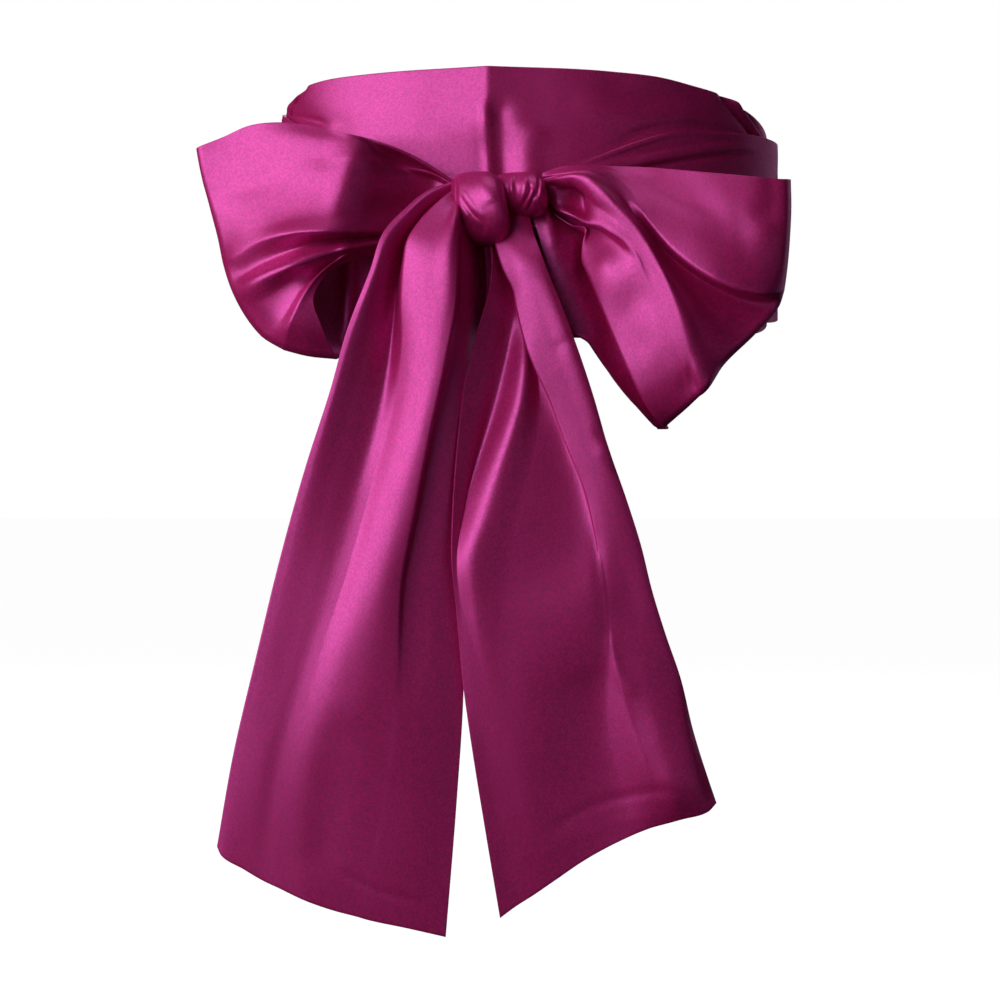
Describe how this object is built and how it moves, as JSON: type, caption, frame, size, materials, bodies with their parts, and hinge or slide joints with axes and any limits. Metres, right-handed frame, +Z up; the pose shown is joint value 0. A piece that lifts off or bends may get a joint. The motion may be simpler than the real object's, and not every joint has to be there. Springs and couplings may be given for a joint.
{
  "type": "satin waist sash tied in a bow",
  "caption": "Wide satin sash wound round an open waist and tied at the front in a large bow with long slant-cut tails.",
  "frame": {"origin": "middle of the waist's hollow, half way up the band, where the wearer holds the sash", "axes": "+Z up along the wearer's waist, +X to the right as seen from the front, and the bow faces -Y"},
  "size_m": [0.3395, 0.2611, 0.482],
  "materials": {
    "satin_front": "raspberry satin, smooth with a broad soft sheen",
    "satin_wrap": "raspberry satin, smooth with a broad soft sheen",
    "satin_knot": "raspberry satin, pulled tight in small gathers",
    "satin_loops": "raspberry satin, full soft folds with a broad sheen",
    "satin_tails": "raspberry satin, long soft folds with a broad sheen"
  },
  "bodies": {
    "root": {"front_panel": "satin_front", "wrap_left": "satin_wrap", "wrap_right": "satin_wrap", "knot_over": "satin_knot", "knot_under": "satin_knot", "loop_left": "satin_loops", "loop_right": "satin_loops", "tail_left": "satin_tails", "tail_right": "satin_tails"}
  },
  "joints": []
}
